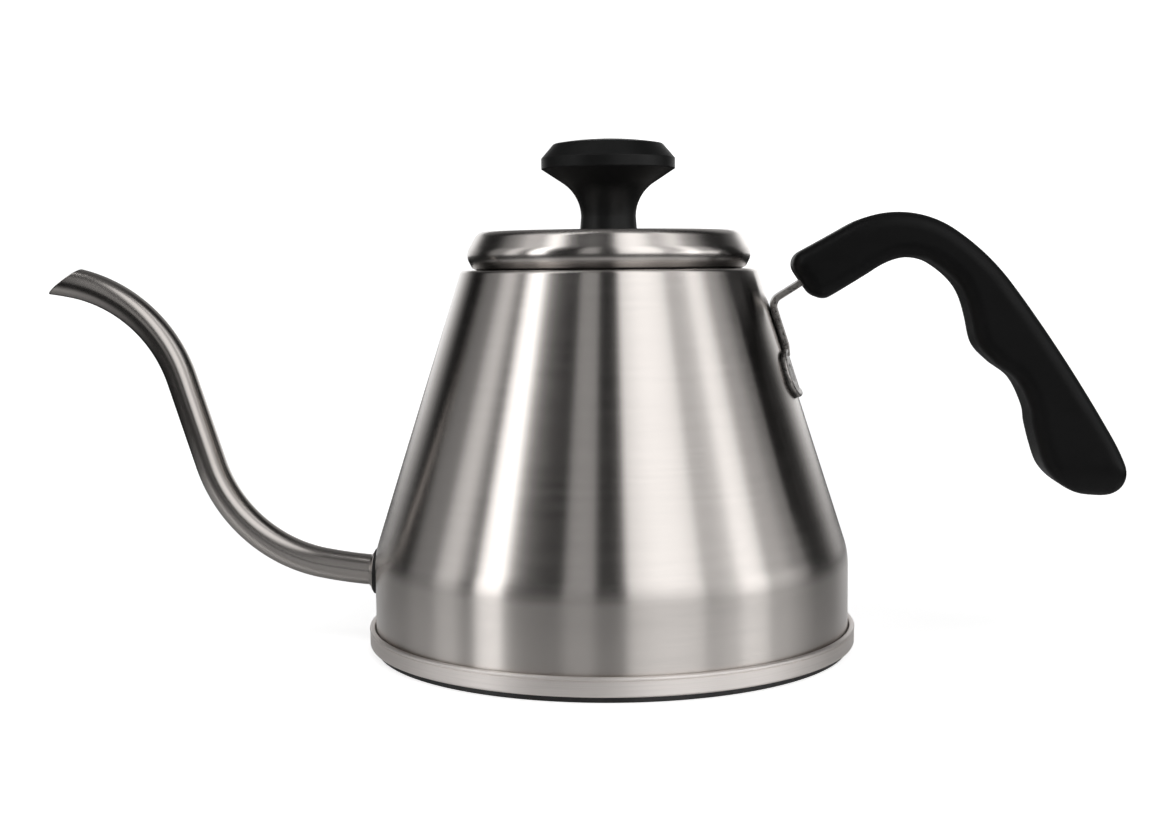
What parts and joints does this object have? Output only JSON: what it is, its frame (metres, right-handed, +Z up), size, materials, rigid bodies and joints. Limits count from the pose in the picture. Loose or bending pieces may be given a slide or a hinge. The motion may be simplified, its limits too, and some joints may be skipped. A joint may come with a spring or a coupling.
{
  "type": "gooseneck kettle",
  "caption": "Stove-top gooseneck kettle: conical brushed-steel body on a rolled base ring, thin S-curved spout, lift-off lid with black knob, black finger-grip handle on a bent strip.",
  "frame": {"origin": "centre of the round base, on the table plane", "axes": "+Z up along the body's axis; +X towards the handle, -X towards the spout; the spout and handle lie in the XZ plane"},
  "size_m": [0.3119, 0.141, 0.1461],
  "materials": {
    "steel_brushed": "brushed round the axis",
    "steel_satin": "satin",
    "steel_polished": "fine polish along the tube",
    "steel_strip": "tumbled",
    "steel_fastener": "plated",
    "aluminium": "milled",
    "base_black": "matt heat-resistant enamel",
    "rubber_black": "moulded",
    "plastic_black": "satin moulded phenolic",
    "plastic_knob": "semi-gloss moulded phenolic",
    "brass": "turned"
  },
  "bodies": {
    "kettle": {"body_shell": "steel_brushed", "base_pan": "steel_satin", "heat_spreader": "aluminium", "base_cap": "base_black", "spout_tube": "steel_polished", "spout_collar": "steel_polished", "spout_gasket": "rubber_black", "spout_washer": "steel_fastener", "spout_nut": "steel_fastener", "handle_bracket": "steel_strip", "handle_grip": "plastic_black", "grip_screws": "steel_fastener", "grip_inserts": "brass"},
    "lid": {"lid_cover": "steel_brushed", "lid_insert": "steel_satin", "knob": "plastic_knob", "knob_insert": "brass", "knob_washer": "steel_fastener", "knob_lock_washer": "steel_fastener", "knob_screw": "steel_fastener"}
  },
  "joints": [
    {"name": "lid_lift", "type": "slide", "parent": "kettle", "child": "lid", "axis": [0, 0, 1], "range_m": [0, 0.06]}
  ]
}
